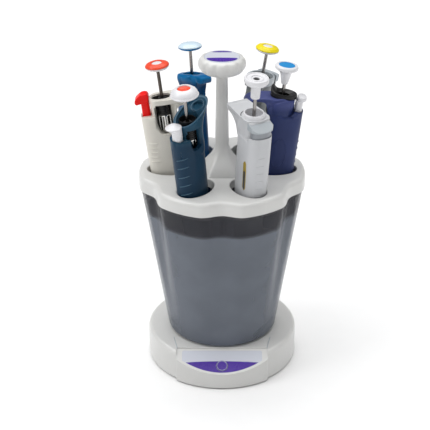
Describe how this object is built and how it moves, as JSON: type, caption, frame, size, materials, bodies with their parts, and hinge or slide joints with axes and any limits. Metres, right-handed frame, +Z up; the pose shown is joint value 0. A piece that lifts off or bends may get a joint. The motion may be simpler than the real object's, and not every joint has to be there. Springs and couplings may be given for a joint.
{
  "type": "pipette set",
  "caption": "Rotating stand with a lobed lid holding hand pipettes of different makes, with a smoked tub, a lamp column inside and a round base.",
  "frame": {"origin": "centre of the round base on the plane the feet rest on", "axes": "+Z up along the turning axis of the carousel, -Y toward the side with the control panel"},
  "size_m": [0.1648, 0.1548, 0.3191],
  "materials": {
    "blue_plastic": "satin",
    "board_green": "matte",
    "coral_plastic": "satin",
    "dark_plastic": "matte",
    "dark_steel": "brushed",
    "ivory_plastic": "satin",
    "label_purple": "gloss",
    "label_white": "gloss",
    "lamp_glass": "gloss",
    "liner_grey": "satin",
    "mid_grey_plastic": "satin",
    "navy_plastic": "satin",
    "pale_grey_plastic": "satin",
    "red_plastic": "satin",
    "rubber_black": "matte",
    "shell_white": "satin",
    "steel": "brushed",
    "tub_smoke": "gloss",
    "violet_plastic": "satin",
    "white_plastic": "gloss",
    "yellow_plastic": "satin"
  },
  "bodies": {
    "base": {"base_housing": "shell_white", "base_plate": "shell_white", "rubber_feet": "rubber_black", "base_screws": "steel", "control_panel": "label_white", "circuit_board": "board_green", "power_inlet": "dark_plastic", "bearing_ring": "steel", "lamp_socket": "white_plastic", "uv_lamps": "lamp_glass"},
    "start_button": {"start_button": "label_purple"},
    "carousel": {"tub": "tub_smoke", "reflector_liner": "liner_grey", "tip_rest": "dark_plastic"},
    "lid": {"lid": "shell_white", "hub_post": "shell_white", "knob": "shell_white", "knob_badge": "label_white"},
    "pipette_a_body": {"pipette_a_handle": "ivory_plastic", "pipette_a_nozzle": "pale_grey_plastic"},
    "pipette_a_dial": {"pipette_a_dial": "dark_plastic"},
    "pipette_a_plunger": {"pipette_a_plunger_button": "coral_plastic", "pipette_a_plunger_rod": "dark_steel"},
    "pipette_a_ejector": {"pipette_a_ejector_button": "red_plastic", "pipette_a_ejector_sleeve": "pale_grey_plastic"},
    "pipette_b_body": {"pipette_b_handle": "navy_plastic", "pipette_b_nozzle": "pale_grey_plastic"},
    "pipette_b_dial": {"pipette_b_dial": "dark_plastic"},
    "pipette_b_plunger": {"pipette_b_plunger_button": "white_plastic", "pipette_b_plunger_rod": "steel"},
    "pipette_b_ejector": {"pipette_b_ejector_button": "white_plastic", "pipette_b_ejector_sleeve": "pale_grey_plastic"},
    "pipette_c_body": {"pipette_c_handle": "blue_plastic", "pipette_c_nozzle": "pale_grey_plastic"},
    "pipette_c_dial": {"pipette_c_dial": "dark_plastic"},
    "pipette_c_plunger": {"pipette_c_plunger_button": "white_plastic", "pipette_c_plunger_rod": "steel"},
    "pipette_c_ejector": {"pipette_c_ejector_button": "blue_plastic", "pipette_c_ejector_sleeve": "pale_grey_plastic"},
    "pipette_d_body": {"pipette_d_handle": "pale_grey_plastic", "pipette_d_nozzle": "pale_grey_plastic"},
    "pipette_d_dial": {"pipette_d_dial": "dark_plastic"},
    "pipette_d_plunger": {"pipette_d_plunger_button": "white_plastic", "pipette_d_plunger_rod": "steel"},
    "pipette_d_ejector": {"pipette_d_ejector_button": "mid_grey_plastic", "pipette_d_ejector_sleeve": "pale_grey_plastic"},
    "pipette_e_body": {"pipette_e_handle": "violet_plastic", "pipette_e_nozzle": "pale_grey_plastic"},
    "pipette_e_dial": {"pipette_e_dial": "dark_plastic"},
    "pipette_e_plunger": {"pipette_e_plunger_button": "white_plastic", "pipette_e_plunger_rod": "steel"},
    "pipette_e_ejector": {"pipette_e_ejector_button": "white_plastic", "pipette_e_ejector_sleeve": "pale_grey_plastic"},
    "pipette_f_body": {"pipette_f_handle": "mid_grey_plastic", "pipette_f_nozzle": "pale_grey_plastic"},
    "pipette_f_dial": {"pipette_f_dial": "dark_plastic"},
    "pipette_f_plunger": {"pipette_f_plunger_button": "yellow_plastic", "pipette_f_plunger_rod": "steel"},
    "pipette_f_ejector": {"pipette_f_ejector_button": "mid_grey_plastic", "pipette_f_ejector_sleeve": "pale_grey_plastic"}
  },
  "joints": [
    {"name": "start_button_press", "type": "slide", "parent": "base", "child": "start_button", "axis": [0, 0.4886, -0.8725], "range_m": [0, 0.0008], "stiffness_N_per_m": 900, "springref_m": -0.0005},
    {"name": "carousel_spin", "type": "hinge", "parent": "base", "child": "carousel", "pos_m": [0, 0, 0.033], "axis": [0, 0, 1], "continuous": true},
    {"name": "lid_lift", "type": "slide", "parent": "carousel", "child": "lid", "axis": [0, 0, 1], "range_m": [0, 0.17]},
    {"name": "pipette_a_lift_out", "type": "slide", "parent": "lid", "child": "pipette_a_body", "axis": [-0.1236, 0, 0.9923], "range_m": [0, 0.2]},
    {"name": "pipette_a_volume_dial", "type": "hinge", "parent": "pipette_a_body", "child": "pipette_a_dial", "pos_m": [-0.05565, 0, 0.27286], "axis": [-0.1236, 0, 0.9923], "range_deg": [-1620, 1620]},
    {"name": "pipette_a_plunger_press", "type": "slide", "parent": "pipette_a_dial", "child": "pipette_a_plunger", "axis": [0.1236, 0, -0.9923], "range_m": [0, 0.013], "stiffness_N_per_m": 150, "springref_m": -0.01},
    {"name": "pipette_a_ejector_press", "type": "slide", "parent": "pipette_a_body", "child": "pipette_a_ejector", "axis": [0.1236, 0, -0.9923], "range_m": [0, 0.009], "stiffness_N_per_m": 250, "springref_m": -0.008},
    {"name": "pipette_b_lift_out", "type": "slide", "parent": "lid", "child": "pipette_b_body", "axis": [-0.0855, -0.0713, 0.9938], "range_m": [0, 0.2]},
    {"name": "pipette_b_volume_dial", "type": "hinge", "parent": "pipette_b_body", "child": "pipette_b_dial", "pos_m": [-0.03089, -0.04844, 0.26899], "axis": [-0.0855, -0.0713, 0.9938], "range_deg": [-1620, 1620]},
    {"name": "pipette_b_plunger_press", "type": "slide", "parent": "pipette_b_dial", "child": "pipette_b_plunger", "axis": [0.0855, 0.0713, -0.9938], "range_m": [0, 0.013], "stiffness_N_per_m": 150, "springref_m": -0.01},
    {"name": "pipette_b_ejector_press", "type": "slide", "parent": "pipette_b_body", "child": "pipette_b_ejector", "axis": [0.0855, 0.0713, -0.9938], "range_m": [0, 0.009], "stiffness_N_per_m": 250, "springref_m": -0.008},
    {"name": "pipette_c_lift_out", "type": "slide", "parent": "lid", "child": "pipette_c_body", "axis": [-0.0568, 0.0879, 0.9945], "range_m": [0, 0.2]},
    {"name": "pipette_c_volume_dial", "type": "hinge", "parent": "pipette_c_body", "child": "pipette_c_dial", "pos_m": [-0.02856, 0.04876, 0.27003], "axis": [-0.0568, 0.0879, 0.9945], "range_deg": [-1620, 1620]},
    {"name": "pipette_c_plunger_press", "type": "slide", "parent": "pipette_c_dial", "child": "pipette_c_plunger", "axis": [0.0568, -0.0879, -0.9945], "range_m": [0, 0.013], "stiffness_N_per_m": 150, "springref_m": -0.01},
    {"name": "pipette_c_ejector_press", "type": "slide", "parent": "pipette_c_body", "child": "pipette_c_ejector", "axis": [0.0568, -0.0879, -0.9945], "range_m": [0, 0.009], "stiffness_N_per_m": 250, "springref_m": -0.008},
    {"name": "pipette_d_lift_out", "type": "slide", "parent": "lid", "child": "pipette_d_body", "axis": [0.0523, -0.0905, 0.9945], "range_m": [0, 0.2]},
    {"name": "pipette_d_volume_dial", "type": "hinge", "parent": "pipette_d_body", "child": "pipette_d_dial", "pos_m": [0.02825, -0.04893, 0.27003], "axis": [0.0523, -0.0905, 0.9945], "range_deg": [-1620, 1620]},
    {"name": "pipette_d_plunger_press", "type": "slide", "parent": "pipette_d_dial", "child": "pipette_d_plunger", "axis": [-0.0523, 0.0905, -0.9945], "range_m": [0, 0.013], "stiffness_N_per_m": 150, "springref_m": -0.01},
    {"name": "pipette_d_ejector_press", "type": "slide", "parent": "pipette_d_body", "child": "pipette_d_ejector", "axis": [-0.0523, 0.0905, -0.9945], "range_m": [0, 0.006], "stiffness_N_per_m": 250, "springref_m": -0.008},
    {"name": "pipette_e_lift_out", "type": "slide", "parent": "lid", "child": "pipette_e_body", "axis": [0.1149, 0, 0.9934], "range_m": [0, 0.2]},
    {"name": "pipette_e_volume_dial", "type": "hinge", "parent": "pipette_e_body", "child": "pipette_e_dial", "pos_m": [0.05518, 0, 0.26549], "axis": [0.1149, 0, 0.9934], "range_deg": [-1620, 1620]},
    {"name": "pipette_e_plunger_press", "type": "slide", "parent": "pipette_e_dial", "child": "pipette_e_plunger", "axis": [-0.1149, 0, -0.9934], "range_m": [0, 0.013], "stiffness_N_per_m": 150, "springref_m": -0.01},
    {"name": "pipette_e_ejector_press", "type": "slide", "parent": "pipette_e_body", "child": "pipette_e_ejector", "axis": [-0.1149, 0, -0.9934], "range_m": [0, 0.009], "stiffness_N_per_m": 250, "springref_m": -0.008},
    {"name": "pipette_f_lift_out", "type": "slide", "parent": "lid", "child": "pipette_f_body", "axis": [0.1619, 0.0263, 0.9865], "range_m": [0, 0.2]},
    {"name": "pipette_f_volume_dial", "type": "hinge", "parent": "pipette_f_body", "child": "pipette_f_dial", "pos_m": [0.0373, 0.04492, 0.27048], "axis": [0.1619, 0.0263, 0.9865], "range_deg": [-1620, 1620]},
    {"name": "pipette_f_plunger_press", "type": "slide", "parent": "pipette_f_dial", "child": "pipette_f_plunger", "axis": [-0.1619, -0.0263, -0.9865], "range_m": [0, 0.013], "stiffness_N_per_m": 150, "springref_m": -0.01},
    {"name": "pipette_f_ejector_press", "type": "slide", "parent": "pipette_f_body", "child": "pipette_f_ejector", "axis": [-0.1619, -0.0263, -0.9865], "range_m": [0, 0.009], "stiffness_N_per_m": 250, "springref_m": -0.008}
  ]
}
